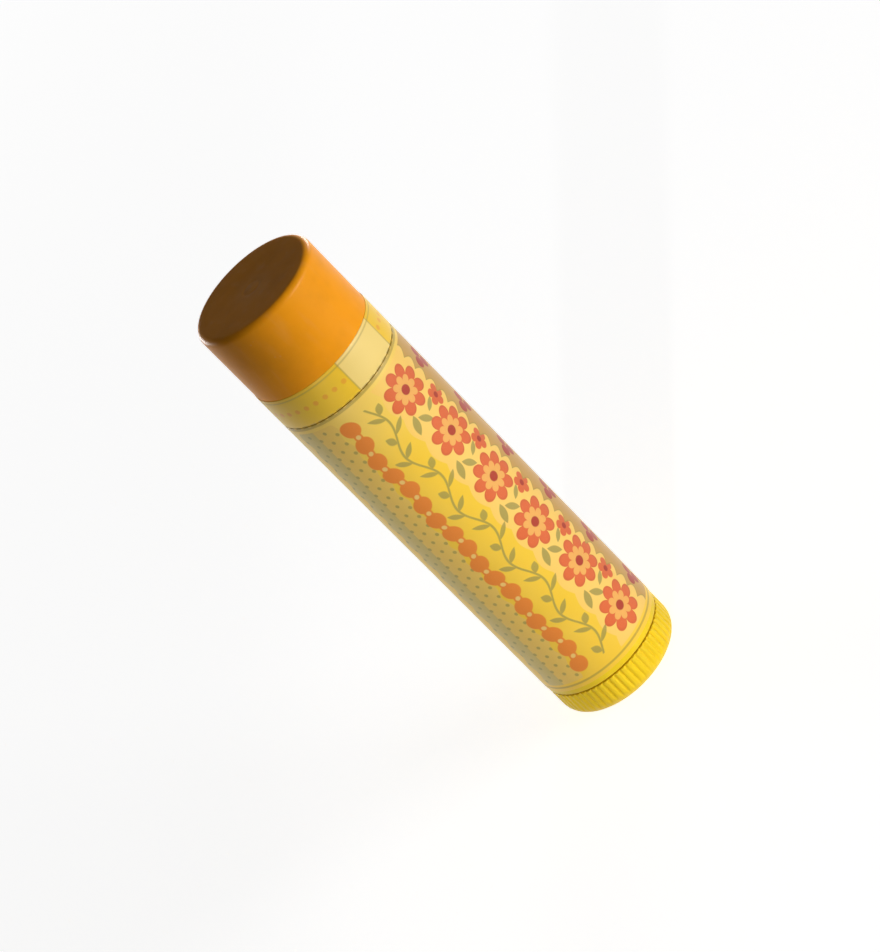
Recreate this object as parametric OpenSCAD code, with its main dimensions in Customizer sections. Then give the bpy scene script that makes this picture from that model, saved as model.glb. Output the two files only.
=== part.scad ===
// A twist-up lip balm stick standing upright. The origin is the centre of its foot and the cap is on top.
// All lengths are in millimetres.

/* [Tube] */
// Outside radius of the barrel and the cap, under the label
tube_r = 8.2; // [7.8:0.1:9]
// Wall of the barrel, from the bore that the balm fills to the outside
tube_wall = 2.2; // [2:0.1:2.8]
// Height of the barrel's full-width body, from its foot to its shoulder
body_h = 48.35; // [44:0.05:56]
// Wall of the neck that the cap slides over
neck_wall = 1.1; // [0.8:0.05:1.3]
// Height of the neck above the shoulder
neck_h = 7.5; // [6:0.1:10]
// Radius of the small round on the neck's rim and the barrel's foot
small_round_r = 0.3; // [0.1:0.05:0.45]
// How far the friction bead stands out of the neck
bead_h = 0.05; // [0.02:0.01:0.06]
// Radius of the friction bead's section
bead_section_r = 1.2; // [0.6:0.1:1.6]
// Height of the friction bead above the shoulder
bead_z_above = 3; // [2:0.1:4.5]
// Thickness of the bearing plate across the barrel's foot
floor_t = 1.2; // [0.8:0.1:1.4]
// How far the barrel's spigot reaches down into the wheel
spigot_h = 2.35; // [1.6:0.05:2.8]

/* [Guide ribs in the bore] */
// Number of guide ribs
guide_count = 4; // [2:1:6]
// Width of a guide rib
guide_w = 0.9; // [0.6:0.1:1.4]
// How far a guide rib stands into the bore
guide_h = 0.4; // [0.2:0.05:0.5]
// Bare bore between the top of the ribs and the neck's rim
guide_top_gap = 1; // [0.5:0.1:3]

/* [Cap] */
// Room in the cap above the neck's rim
cap_room = 6.1; // [4:0.1:11]
// Thickness of the cap's top
cap_top_t = 1.1; // [0.8:0.1:1.6]
// Radius of the round edge between the cap's top and side
cap_edge_r = 0.8; // [0.5:0.1:1.8]
// Radius of the inside corner under the cap's top
cap_inside_r = 0.8; // [0.3:0.1:1.2]
// Width of the lead-in chamfer at the cap's mouth
cap_mouth_w = 0.4; // [0.1:0.05:0.55]

/* [Twist wheel] */
// Height of the wheel
wheel_h = 4.2; // [3.8:0.1:6]
// Radius of the round edge under the wheel
wheel_edge_r = 1.9; // [1:0.1:2.1]
// Thickness of the wheel's floor
wheel_floor_t = 1.2; // [0.9:0.1:1.4]
// Thickness of the wheel's rim, grip ribs included
wheel_rim_t = 1.1; // [0.9:0.05:1.2]
// Number of grip grooves round the wheel
grip_count = 60; // [30:2:72]
// Depth of a grip groove
grip_depth = 0.2; // [0.1:0.02:0.3]
// Width of the flat ring that the stick stands on, round the shallow recess
foot_ring_w = 1.7; // [0.8:0.1:2.6]
// Depth of the shallow recess in the underside
recess_depth = 0.35; // [0.1:0.05:0.5]

/* [Hub of the wheel] */
// Radius of the hub where it turns in the bearing plate
journal_r = 2.8; // [2.5:0.1:3.2]
// How far the thrust collar under the plate stands out of the journal
thrust_w = 1; // [0.5:0.1:1.8]
// How far the snap barb over the plate stands out of the journal
barb_w = 0.4; // [0.2:0.05:0.8]
// Height of the snap barb
barb_h = 1.1; // [0.8:0.1:1.6]
// Corner radius of the wheel's many-sided socket and of the spindle's root
key_r = 1.85; // [1.6:0.05:2]

/* [Screw] */
// Radius of the screw over its thread
thread_crest_r = 2.1; // [1.9:0.05:2.3]
// Depth of the thread
thread_depth = 0.7; // [0.4:0.05:0.8]
// Rise of the thread in one turn
thread_lead = 4.8; // [4:0.1:5.2]
// Height of the pointed tip
screw_tip_h = 0.8; // [0.4:0.1:1.2]
// Height over which the six-sided root changes to the thread
root_blend_h = 0.25; // [0.1:0.05:0.28]
// Full turns of the wheel between the lowest and the highest place of the elevator
travel_turns = 9; // [7:1:10]
// Length of screw that the elevator still holds in its highest place
thread_grip = 4.8; // [3:0.1:7]

/* [Elevator] */
// Height of the elevator
elevator_h = 9; // [7:0.1:10]
// Wall of the elevator's cup
elevator_wall = 0.9; // [0.75:0.05:1.1]
// Thickness of the elevator's floor
elevator_floor_t = 1; // [0.8:0.1:1.5]
// Wall of the threaded boss outside its thread
boss_wall = 0.8; // [0.6:0.05:1]
// Number of fins that key the balm to the cup
fin_count = 4; // [2:1:6]
// Thickness of a fin
fin_t = 0.6; // [0.4:0.1:0.9]
// Height of a fin above the cup's floor
fin_h = 5; // [2:0.1:5.5]

/* [Balm] */
// How far the crown of the balm stands above the neck's rim
balm_rise = 1.7; // [0.8:0.1:1.9]
// Radius of the balm's domed crown
balm_dome_r = 20; // [12:1:60]
// Free length of the channel above the screw's tip
channel_end = 1; // [0.5:0.1:2]

/* [Label] */
// Thickness of the label film
label_t = 0.1; // [0.05:0.01:0.2]
// Bare barrel between its foot and the label's lower edge
label_foot = 0.85; // [0.5:0.05:4]
// Height of the tear band on the cap
tear_band_h = 4.6; // [3:0.1:8]

/* [Clearances] */
// Running gap between the wheel's rim and the barrel's foot
wheel_gap = 0.15; // [0.1:0.01:0.3]
// Gap between the shoulder and the cap's rim, which is the label's perforation too
cap_seat_gap = 0.1; // [0.05:0.01:0.3]
// Radial gap between the neck and the cap
cap_fit_gap = 0.08; // [0.07:0.01:0.15]
// Radial gap of the wheel on the spigot and in the bearing plate
bearing_gap = 0.08; // [0.04:0.01:0.1]
// Axial gap of the hub at both faces of the bearing plate
thrust_gap = 0.05; // [0.03:0.01:0.1]
// Gap between the barb and the elevator in its lowest place
rest_gap = 0.3; // [0.3:0.05:0.6]
// Radial gap between the elevator and the bore
elevator_gap = 0.08; // [0.04:0.01:0.12]
// Gap on each side of a guide rib and over it
guide_gap = 0.1; // [0.05:0.01:0.15]
// Radial and axial gap between the two threads
thread_gap = 0.2; // [0.18:0.01:0.25]
// Radial gap between the balm and the bore
balm_gap = 0.08; // [0.04:0.01:0.12]
// Gap between the poured balm and the elevator
pour_gap = 0.03; // [0.02:0.01:0.06]
// Radial gap between the screw and the channel in the balm
channel_gap = 0.3; // [0.2:0.05:0.5]

/* [Hidden] */
$fn = 96;

// How far a cut runs past the face that it opens
overrun = 1;
// How far a rib or fin is sunk into the wall that carries it
embed = 0.3;

// Sides of the socket and the spindle's root
key_sides = 6;
// Shares of one turn that the thread's crest and each of its flanks take
crest_share = 1 / 6;
flank_share = 1 / 12;
// Straight steps in the crest, in the root and in one turn of the thread
crest_steps = 4;
root_steps = 8;
turn_steps = 16;

// Heights of the main faces, from the foot up
foot_z = wheel_h + wheel_gap;
shoulder_z = foot_z + body_h;
neck_top_z = shoulder_z + neck_h;
rim_z = shoulder_z + cap_seat_gap;
ceiling_z = neck_top_z + cap_room;
stick_h = ceiling_z + cap_top_t;
floor_under_z = foot_z - floor_t;
spigot_z = foot_z - spigot_h;
thrust_z = floor_under_z - thrust_gap;
barb_z = foot_z + thrust_gap;
hub_top_z = barb_z + barb_h;
elevator_z = hub_top_z + rest_gap;
elevator_top_z = elevator_z + elevator_h;
cup_floor_z = elevator_z + elevator_floor_t;
screw_top_z = hub_top_z + travel_turns * thread_lead + thread_grip;
balm_top_z = neck_top_z + balm_rise;
channel_top_z = screw_top_z + channel_end;
guide_top_z = neck_top_z - guide_top_gap;
label_z = foot_z + label_foot;

// Radii that follow from the walls and the fits
bore_r = tube_r - tube_wall;
neck_r = bore_r + neck_wall;
cap_bore_r = neck_r + cap_fit_gap;
cup_r = tube_r - wheel_rim_t;
spigot_r = cup_r - bearing_gap;
bearing_r = journal_r + bearing_gap;
elevator_r = bore_r - elevator_gap;
balm_r = bore_r - balm_gap;
guide_tip_r = bore_r - guide_h;
notch_r = guide_tip_r - guide_gap;
notch_w = guide_w + 2 * guide_gap;
thread_root_r = thread_crest_r - thread_depth;
boss_r = thread_crest_r + thread_gap + boss_wall;
cup_inside_r = elevator_r - elevator_wall;
channel_r = thread_crest_r + channel_gap;
label_r = tube_r + label_t;
recess_r = tube_r - wheel_edge_r - foot_ring_w;

// One ring of a thread, as [radius, angle] pairs, widened by the gap for the nut's side
function thread_ring(gap) =
    let (
        half_crest = 360 * (crest_share / 2 + gap / thread_lead),
        root_start = half_crest + 360 * flank_share,
        root_span = 360 - 2 * root_start
    )
    concat(
        [for (i = [0:crest_steps]) [thread_crest_r + gap, half_crest * (2 * i / crest_steps - 1)]],
        [for (i = [0:root_steps]) [thread_root_r + gap, root_start + root_span * i / root_steps]]
    );

// The spindle's flat-sided root at the same angles as a thread ring
function key_ring(ring) = [
    for (p = ring)
        let (half_side = 180 / key_sides, from_flat = (p[1] + 360) % (2 * half_side) - half_side)
        [key_r * cos(half_side) / cos(from_flat), p[1]]
];

// A ring's points in space at height z, turned as a left-hand thread turns, and drawn in by shrink
function ring_points(ring, z, turn, shrink = 0) = [
    for (p = ring) [(p[0] - shrink) * cos(p[1] + turn), (p[0] - shrink) * sin(p[1] + turn), z]
];

// How far the left-hand thread has turned at height z, counted from the hub's top
function thread_turn(z) = -360 * (z - hub_top_z) / thread_lead;

// Skins a stack of rings of equal length, with a flat face at each end
module skin(rings) {
    n = len(rings[0]);
    last = len(rings) - 1;
    sides = [
        for (k = [0:last - 1], i = [0:n - 1])
            let (a = k * n + i, b = k * n + (i + 1) % n)
            each [[a, a + n, b + n], [a, b + n, b]]
    ];
    bottom = [[for (i = [0:n - 1]) i]];
    top = [[for (i = [n - 1:-1:0]) last * n + i]];
    polyhedron(points = [for (ring = rings) each ring], faces = concat(bottom, sides, top));
}

// The half outline of a disc whose lower outside edge is round
module round_foot_outline(r, h, edge) {
    square([r - edge, h]);
    translate([0, edge])
        square([r, h - edge]);
    translate([r - edge, edge])
        circle(edge);
}

// The same outline with its upper outside edge round
module round_top_outline(r, h, edge) {
    translate([0, h])
        mirror([0, 1])
            round_foot_outline(r, h, edge);
}

// A tube round the upright axis between two heights
module tube(inside_r, outside_r, low_z, high_z) {
    translate([0, 0, low_z])
        difference() {
            cylinder(r = outside_r, h = high_z - low_z);
            translate([0, 0, -overrun])
                cylinder(r = inside_r, h = high_z - low_z + 2 * overrun);
        }
}

// Copies its children evenly round the upright axis
module around(count) {
    for (i = [0:count - 1])
        rotate(360 * i / count)
            children();
}

// An upright bar across the guide ribs' places, from a radius outwards
module guide_bars(inside_r, outside_r, w, low_z, high_z) {
    around(guide_count)
        translate([inside_r, -w / 2, low_z])
            cube([outside_r - inside_r, w, high_z - low_z]);
}

// The pull-off cap: a plain cup with a rounded top edge and a chamfered mouth
module cap() {
    color("#f59a28")
        translate([0, 0, rim_z])
            rotate_extrude()
                difference() {
                    round_top_outline(tube_r, stick_h - rim_z, cap_edge_r);
                    translate([0, -overrun])
                        round_top_outline(cap_bore_r, ceiling_z - rim_z + overrun, cap_inside_r);
                    polygon([
                        [0, -cap_mouth_w],
                        [cap_bore_r + 2 * cap_mouth_w, -cap_mouth_w],
                        [cap_bore_r, cap_mouth_w],
                        [0, cap_mouth_w]
                    ]);
                }
}

// The strip of label above the perforation, on the cap
module tear_band() {
    color("#e8bc4a")
        tube(tube_r, label_r, rim_z, rim_z + tear_band_h);
}

// The label film round the barrel, up to the perforation
module wrap_label() {
    color("#e3b440")
        tube(tube_r, label_r, label_z, shoulder_z);
}

// The barrel: body, neck and friction bead, with the bearing plate and the spigot at its foot
module barrel() {
    color("#f0c818") {
        rotate_extrude()
            difference() {
                union() {
                    translate([0, foot_z])
                        round_foot_outline(tube_r, body_h, small_round_r);
                    translate([0, shoulder_z - overrun])
                        round_top_outline(neck_r, neck_h + overrun, small_round_r);
                    translate([neck_r + bead_h - bead_section_r, shoulder_z + bead_z_above])
                        circle(bead_section_r);
                    translate([0, spigot_z])
                        square([spigot_r, spigot_h + overrun]);
                }
                translate([0, foot_z])
                    square([bore_r, neck_top_z - foot_z + overrun]);
                translate([0, spigot_z - overrun])
                    square([bore_r, spigot_h - floor_t + overrun]);
                square([bearing_r, foot_z + overrun]);
            }
        guide_bars(guide_tip_r, bore_r + embed, guide_w, foot_z, guide_top_z);
    }
}

// The twist wheel: a ribbed cup with a hub that snaps through the bearing plate
module twist_wheel() {
    color("#f0c818")
        difference() {
            rotate_extrude() {
                difference() {
                    round_foot_outline(tube_r, wheel_h, wheel_edge_r);
                    translate([0, wheel_floor_t])
                        square([cup_r, wheel_h]);
                    translate([0, -overrun])
                        square([recess_r, recess_depth + overrun]);
                }
                polygon([
                    [0, wheel_floor_t - embed],
                    [journal_r + thrust_w, wheel_floor_t - embed],
                    [journal_r + thrust_w, thrust_z],
                    [journal_r, thrust_z],
                    [journal_r, barb_z],
                    [journal_r + barb_w, barb_z],
                    [journal_r, hub_top_z],
                    [0, hub_top_z]
                ]);
            }
            translate([0, 0, wheel_floor_t])
                cylinder(r = key_r, h = hub_top_z, $fn = key_sides);
            translate([0, 0, -overrun])
                linear_extrude(height = wheel_h + 2 * overrun)
                    around(grip_count)
                        translate([tube_r, 0])
                            circle(r = grip_depth, $fn = 4);
        }
}

// The threaded post, with a flat-sided root that is pressed into the hub's socket
module screw_spindle() {
    ring = thread_ring(0);
    key = key_ring(ring);
    thread_z = hub_top_z + root_blend_h;
    crown_z = screw_top_z - screw_tip_h;
    steps = ceil((crown_z - thread_z) / thread_lead * turn_steps);
    color("#f2ead2")
        skin(concat(
            [ring_points(key, wheel_floor_t, 0), ring_points(key, hub_top_z, 0)],
            [
                for (k = [0:steps])
                    let (z = thread_z + (crown_z - thread_z) * k / steps)
                    ring_points(ring, z, thread_turn(z))
            ],
            [ring_points(ring, screw_top_z, thread_turn(crown_z), thread_root_r / 2)]
        ));
}

// The room that the screw needs in the elevator's boss
module thread_cutter(low_z, high_z) {
    ring = thread_ring(thread_gap);
    steps = ceil((high_z - low_z) / thread_lead * turn_steps);
    skin([
        for (k = [0:steps])
            let (z = low_z + (high_z - low_z) * k / steps)
            ring_points(ring, z, thread_turn(z))
    ]);
}

// The fins between the boss and the cup's wall, up to a height
module fins(w, high_z) {
    around(fin_count)
        rotate(180 / fin_count)
            translate([boss_r - embed, -w / 2, elevator_z])
                cube([cup_inside_r - boss_r + 2 * embed, w, high_z - elevator_z]);
}

// The elevator: a notched cup with a threaded boss, and fins that key the balm
module elevator() {
    color("#f4efdf")
        difference() {
            union() {
                translate([0, 0, elevator_z])
                    cylinder(r = boss_r, h = elevator_h);
                translate([0, 0, elevator_z])
                    cylinder(r = elevator_r, h = elevator_floor_t);
                tube(cup_inside_r, elevator_r, elevator_z, elevator_top_z);
                fins(fin_t, cup_floor_z + fin_h);
            }
            guide_bars(notch_r, bore_r + overrun, notch_w, elevator_z - overrun, elevator_top_z + overrun);
            thread_cutter(elevator_z - overrun, elevator_top_z + overrun);
        }
}

// The wax: poured into the cup and round the screw, with a domed crown
module balm_stick() {
    color("#f3e3b0")
        difference() {
            rotate_extrude() {
                translate([boss_r + pour_gap, cup_floor_z + pour_gap])
                    square([cup_inside_r - boss_r - 2 * pour_gap, elevator_h]);
                translate([channel_r, elevator_top_z + pour_gap])
                    square([balm_r - channel_r, channel_top_z - elevator_top_z]);
                intersection() {
                    translate([0, channel_top_z])
                        square([balm_r, balm_top_z - channel_top_z]);
                    translate([0, balm_top_z - balm_dome_r])
                        circle(balm_dome_r);
                }
            }
            guide_bars(notch_r, bore_r + overrun, notch_w, elevator_top_z, guide_top_z + guide_gap);
            fins(fin_t + 2 * pour_gap, cup_floor_z + fin_h + pour_gap);
        }
}

cap();
tear_band();
wrap_label();
barrel();
twist_wheel();
screw_spindle();
elevator();
balm_stick();
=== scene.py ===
import math

import bpy
import numpy as np
from mathutils import Matrix, Vector


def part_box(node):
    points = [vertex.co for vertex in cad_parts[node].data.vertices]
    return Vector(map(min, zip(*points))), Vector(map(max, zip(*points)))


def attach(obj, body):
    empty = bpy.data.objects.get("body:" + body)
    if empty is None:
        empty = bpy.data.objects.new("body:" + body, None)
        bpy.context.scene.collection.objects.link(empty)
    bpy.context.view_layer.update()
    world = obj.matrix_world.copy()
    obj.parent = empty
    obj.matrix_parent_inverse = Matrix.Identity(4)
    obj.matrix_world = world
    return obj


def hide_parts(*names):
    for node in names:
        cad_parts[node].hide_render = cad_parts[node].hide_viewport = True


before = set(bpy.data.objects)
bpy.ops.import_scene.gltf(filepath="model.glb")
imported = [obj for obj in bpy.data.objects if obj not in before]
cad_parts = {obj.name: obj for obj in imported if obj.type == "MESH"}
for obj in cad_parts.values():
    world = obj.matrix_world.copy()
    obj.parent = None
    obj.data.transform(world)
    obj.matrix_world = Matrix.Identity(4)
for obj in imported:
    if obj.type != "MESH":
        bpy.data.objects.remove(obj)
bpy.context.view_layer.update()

# A twist-up lip balm stick, laid out as an add-on: sizes and colours are properties, and operators make
# the pieces. It stands upright, in metres: +Z is up, the front of its label faces -Y, and the origin is
# the centre of its foot.

bl_info = {
    "name": "Lip balm stick",
    "version": (1, 0, 0),
    "blender": (4, 5, 0),
    "location": "View3D > Sidebar > Balm Stick",
    "description": "Makes a twist-up lip balm stick: cap, printed label, barrel, ribbed wheel and wax",
    "category": "Object",
}

MM = 0.001

# The breadth that tells one face of a section from the next, and the sharpest angle that is shaded soft
HAIR = 0.01 * MM
SOFT_DEGREES = 38


def node_box(name):
    """The lowest and highest corner of a CAD node, as plain tuples in metres."""
    low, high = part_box(name)
    return tuple(low), tuple(high)


CAP = node_box("cap")
BAND = node_box("tear_band")
LABEL = node_box("wrap_label")
BARREL = node_box("barrel")
WHEEL = node_box("twist_wheel")
WAX = node_box("balm_stick")
ELEVATOR = node_box("elevator")
STICK_H = CAP[1][2]
TUBE_R = BARREL[1][0]

# Barrel: bearing, spigot, guide ribs in the bore and friction bead on the neck
BEARING_R = 2.88 * MM
PLATE_T = 1.2 * MM
LABEL_FOOT = 0.85 * MM
SPIGOT_R = 7.02 * MM
GUIDE_COUNT = 4
GUIDE_W = 0.9 * MM
GUIDE_H = 0.4 * MM
GUIDE_FLANK = 0.2 * MM
GUIDE_TOP_GAP = 1 * MM
GUIDE_SLOPE = 0.3 * MM
BEAD_UP = 3 * MM
BEAD_H = 0.05 * MM
BEAD_HALF = 0.36 * MM

# Cap: ceiling corner, mouth and gate mark
CAP_INSIDE_R = 0.8 * MM
CAP_MOUTH_W = 0.4 * MM
GATE_RING_R = 1.1 * MM
GATE_RING_W = 0.16 * MM
GATE_REACH = 2 * GATE_RING_R
GATE_DEEP = 0.05 * MM

# Wheel: foot, rim, hub and socket
WHEEL_H = 4.2 * MM
RECESS_DEEP = 0.35 * MM
FOOT_RING_W = 1.7 * MM
RIM_T = 1.1 * MM
WHEEL_FLOOR_T = 1.2 * MM
THRUST_R = 3.8 * MM
THRUST_Z = 3.1 * MM
JOURNAL_R = 2.8 * MM
BARB_Z = 4.4 * MM
BARB_W = 0.4 * MM
KEY_R = 1.85 * MM
GRIP_COUNT = 60
GRIP_HALF = 0.27 * MM

# Wax: channel for the screw, hollow for the elevator's boss and fins, and grooves for the guide ribs
CHANNEL_R = 2.4 * MM
CHANNEL_TOP = 54.5 * MM
BOSS_R = 3.13 * MM
CUP_R = 4.99 * MM
FIN_HALF = 0.36 * MM
FIN_TOP = 11.83 * MM
POUR_GAP = 0.03 * MM
NOTCH_W = 1.1 * MM
NOTCH_DEEP = 0.42 * MM
NOTCH_FLANK = 0.14 * MM
NOTCH_TOP = 59.3 * MM
NOTCH_SLOPE = 0.25 * MM
DOME_R = 20 * MM


def paint(red, green, blue):
    """An 8-bit screen colour as the linear colour that renders like it."""
    values = np.array([red, green, blue]) / 255
    linear = np.where(values <= 0.04045, values / 12.92, ((values + 0.055) / 1.055) ** 2.4)
    return tuple(float(v) for v in linear)


def shaded(tone, share):
    """A colour with each channel cut to a share of itself."""
    return tuple(channel * share for channel in tone)


def toward(tone, other, share):
    """A colour part of the way to another."""
    return tuple(a + (b - a) * share for a, b in zip(tone, other))


def length(name, description, default, low, high):
    """A property that holds a length in metres; default, low and high are given in millimetres."""
    return bpy.props.FloatProperty(
        name=name, description=description, unit="LENGTH", precision=5,
        default=default * MM, min=low * MM, max=high * MM,
    )


def colour(name, description, *default):
    """A property that holds a linear colour; the default is given as an 8-bit screen colour."""
    return bpy.props.FloatVectorProperty(
        name=name, description=description, default=paint(*default), min=0, max=1, subtype="COLOR"
    )


class StickSizes(bpy.types.PropertyGroup):
    """Sizes of the stick that the frame's boxes don't give."""

    neck_r: length("Neck radius", "Outside radius of the neck under the cap", 7.1, 6.5, 7.15)
    bore_r: length("Bore radius", "Radius of the barrel's bore", 6, 5.8, 6.2)
    cap_bore_r: length("Cap bore radius", "Radius inside the cap", 7.18, 7.1, 7.6)
    cap_top_t: length("Cap top", "Thickness of the cap's top", 1.1, 0.8, 1.6)
    cap_edge_r: length("Cap edge", "Radius of the round edge at the cap's top", 0.8, 0.4, 1.8)
    cap_sink: length("Cap sink", "Depth of the faint hollow in the cap's top", 0.06, 0, 0.3)
    wheel_edge_r: length("Wheel edge", "Radius of the round edge under the wheel", 1.9, 1, 2.2)
    groove_depth: length("Groove depth", "Depth of the grip grooves round the wheel", 0.2, 0.05, 0.3)
    wax_edge_r: length("Wax edge", "Radius of the soft edge round the wax's crown", 0.35, 0.1, 0.8)
    film_step: length("Film step", "Step where the film's end laps over its start", 0.03, 0, 0.06)
    lap_w: length("Lap", "Width of the film's lap at the back", 3, 1, 6)


class StickPrint(bpy.types.PropertyGroup):
    """Sizes of the pattern that is printed on the film."""

    bloom_r: length("Blossom", "Radius of a big blossom", 3.05, 2, 3.4)
    bloom_pitch: length("Blossom pitch", "Distance from one big blossom to the next", 7.75, 6, 12)
    bud_r: length("Bud", "Radius of a small blossom", 1.35, 0.8, 1.8)
    berry_r: length("Berry", "Radius of a berry", 0.75, 0.4, 1)
    bead_r: length("Bead", "Radius of a bead in the garland", 1.15, 0.6, 1.3)
    bead_pitch: length("Bead pitch", "Distance from one bead of the garland to the next", 2.6, 1.6, 4)
    vine_pitch: length("Vine pitch", "Length of one wave of the vine", 9.3, 6, 14)
    leaf_l: length("Leaf", "Half the length of a leaf on the vine", 0.95, 0.5, 1.3)
    dot_pitch: length("Dot pitch", "Distance between the dots of the dotted panel", 1.25, 0.8, 2)
    plate_w: length("Back panel width", "Width of the bare panel at the back", 17.4, 8, 20)
    plate_h: length("Back panel height", "Height of the bare panel at the back", 43.6, 10, 45)


class StickColours(bpy.types.PropertyGroup):
    """Colours of the stick's plastics, wax and print."""

    cap_orange: colour("Cap", "Orange plastic of the cap", 252, 160, 14)
    body_yellow: colour("Body", "Yellow plastic of the barrel and wheel", 242, 206, 28)
    natural: colour("Natural plastic", "Undyed plastic of the screw and elevator", 238, 234, 218)
    wax: colour("Wax", "Pale wax of the balm", 250, 231, 182)
    ground: colour("Ground", "Golden ground of the film", 243, 197, 34)
    cream: colour("Cream", "Pale cream of the bare panel and of the field on the tear band", 244, 213, 122)
    peach: colour("Peach", "Peach panel behind the blossoms", 246, 201, 98)
    coral: colour("Coral", "Coral red of the blossoms", 216, 98, 44)
    berry: colour("Berry", "Dark red of the berries and blossom centres", 166, 42, 4)
    sage: colour("Sage", "Muted gold of the dotted panel", 236, 195, 88)
    moss: colour("Moss", "Olive gold at the dotted panel's far side", 206, 182, 98)
    leaf: colour("Leaf", "Olive green of the vine and leaves", 150, 138, 64)
    ribbon: colour("Ribbon", "Orange of the garland", 232, 130, 30)
    border: colour("Border", "Deeper gold of the border behind the berries", 197, 150, 66)
    olive: colour("Olive", "Olive of the thin rings", 168, 140, 50)
    floor: colour("Floor", "Pale floor that the stick stands on", 246, 246, 246)


# Surfaces


def smooth(t):
    """The S-curve from 0 to 1: three t squared less two t cubed."""
    t = np.clip(t, 0, 1)
    return t * t * (3 - 2 * t)


def hill(distance, width):
    """A bell: e to the power of minus the squared distance, counted in widths."""
    return np.exp(-((distance / width) ** 2))


def near_bar(angle, count, offset, radius):
    """Distance along the arc from each angle to the nearest of evenly spaced bars, the first of them at
    offset."""
    pitch = 2 * math.pi / count
    return np.abs((angle - offset + pitch / 2) % pitch - pitch / 2) * radius


def bars(angle, height, radius, width, flank, top, slope):
    """1 on upright bars at the guide ribs' places, falling to 0 with an S-curve over a flank at each
    side and over a slope at the top."""
    beside = near_bar(angle, GUIDE_COUNT, 0, radius)
    return smooth((width / 2 + flank / 2 - beside) / flank) * smooth((top - height) / slope)


def rounded(corners, steps=6):
    """An outline from corners (radius, height, fillet). At a corner with a fillet the outline follows
    the arc of that radius which touches both sides, and at the other corners it stays sharp."""
    spots = np.array([corner[:2] for corner in corners], float)
    points = []
    for k, (_, _, fillet) in enumerate(corners):
        if fillet == 0 or k in (0, len(corners) - 1):
            points.append(spots[k][None])
            continue
        back, ahead = spots[k - 1] - spots[k], spots[k + 1] - spots[k]
        back, ahead = back / np.linalg.norm(back), ahead / np.linalg.norm(ahead)
        half = math.acos(float(np.clip(back @ ahead, -1, 1))) / 2
        middle = (back + ahead) / np.linalg.norm(back + ahead)
        centre = spots[k] + middle * fillet / math.sin(half)
        reach = fillet / math.tan(half)
        start, end = spots[k] + back * reach - centre, spots[k] + ahead * reach - centre
        swing = math.pi - 2 * half
        t = np.linspace(0, 1, steps + 1)[:, None]
        points.append(centre + (np.sin((1 - t) * swing) * start + np.sin(t * swing) * end) / math.sin(swing))
    return np.vstack(points)


def denser(outline, longest):
    """The same outline with its longer sides cut into equal parts, none longer than the longest. A side
    that ends on the axis is cut as fine as the gate mark there."""
    parts = []
    for a, b in zip(outline[:-1], outline[1:]):
        limit = GATE_RING_W if min(a[0], b[0]) == 0 else longest
        n = max(1, math.ceil(np.linalg.norm(b - a) / limit))
        parts.append(a + (b - a) * (np.arange(n) / n)[:, None])
    return np.vstack(parts + [outline[-1:]])


def turned(name, outline, count, reshape=None, closed=False, start=0.0):
    """A surface of revolution: point i of the outline, at angle j, stands at (radius cos angle, radius
    sin angle, height). reshape(radius, height, angle) may first change the radius and height, as whole
    arrays.

    The outline runs anticlockwise round the solid's section, so the faces point outwards. An open
    outline starts and ends on the axis, where a fan round one point closes it, and a closed one joins
    its last row to its first.
    """
    rows, column = len(outline), np.arange(count)
    angle = np.broadcast_to(start + column * (2 * math.pi / count), (rows, count))
    radius, height = (np.repeat(outline[:, k : k + 1], count, axis=1) for k in (0, 1))
    if reshape:
        radius, height = reshape(radius, height, angle)
    grid = np.stack([radius * np.cos(angle), radius * np.sin(angle), height], axis=2)

    after = (column + 1) % count
    if not closed:
        poles = grid[[0, -1]].mean(axis=1)
        grid = grid[1:-1]
    kept = len(grid)
    row = np.arange(kept if closed else kept - 1)
    low, high = row[:, None] * count, ((row + 1) % kept)[:, None] * count
    sides = np.stack([low + column, low + after, high + after, high + column], axis=2)
    loops, sizes = sides.ravel(), np.full(len(row) * count, 4)
    u = np.tile(np.stack([column, column + 1, column + 1, column], axis=1), (len(row), 1)).ravel()
    points = grid.reshape(-1, 3)
    if not closed:
        first, top = len(points), (kept - 1) * count
        points = np.vstack([points, poles])
        foot_fan = np.stack([np.full(count, first), after, column], axis=1)
        head_fan = np.stack([np.full(count, first + 1), top + column, top + after], axis=1)
        loops = np.concatenate([loops, foot_fan.ravel(), head_fan.ravel()])
        sizes = np.concatenate([sizes, np.full(2 * count, 3)])
        foot_u = np.stack([column + 0.5, column + 1, column], axis=1)
        head_u = np.stack([column + 0.5, column, column + 1], axis=1)
        u = np.concatenate([u, foot_u.ravel(), head_u.ravel()])

    mesh = bpy.data.meshes.new(name)
    mesh.vertices.add(len(points))
    mesh.vertices.foreach_set("co", points.astype(np.float32).ravel())
    mesh.loops.add(len(loops))
    mesh.loops.foreach_set("vertex_index", loops.astype(np.int32))
    mesh.polygons.add(len(sizes))
    mesh.polygons.foreach_set("loop_start", (np.cumsum(sizes) - sizes).astype(np.int32))
    mesh.polygons.foreach_set("use_smooth", np.ones(len(sizes), bool))
    mesh.update(calc_edges=True)
    wrap = mesh.uv_layers.new(name="wrap")
    uv = np.stack([u / count, points[loops, 2] / STICK_H], axis=1)
    wrap.data.foreach_set("uv", uv.astype(np.float32).ravel())
    if mesh.validate():
        raise RuntimeError(f"the surface of {name} had faults")
    mesh.set_sharp_from_angle(angle=math.radians(SOFT_DEGREES))
    piece = bpy.data.objects.new(name, mesh)
    bpy.context.scene.collection.objects.link(piece)
    return piece


def settle(piece, body, node, finish):
    """Puts a finished piece in place of its CAD node: it rides on the body and takes
    its finish."""
    piece.data.materials.append(finish)
    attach(piece, body)
    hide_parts(node)


# Finishes


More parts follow.
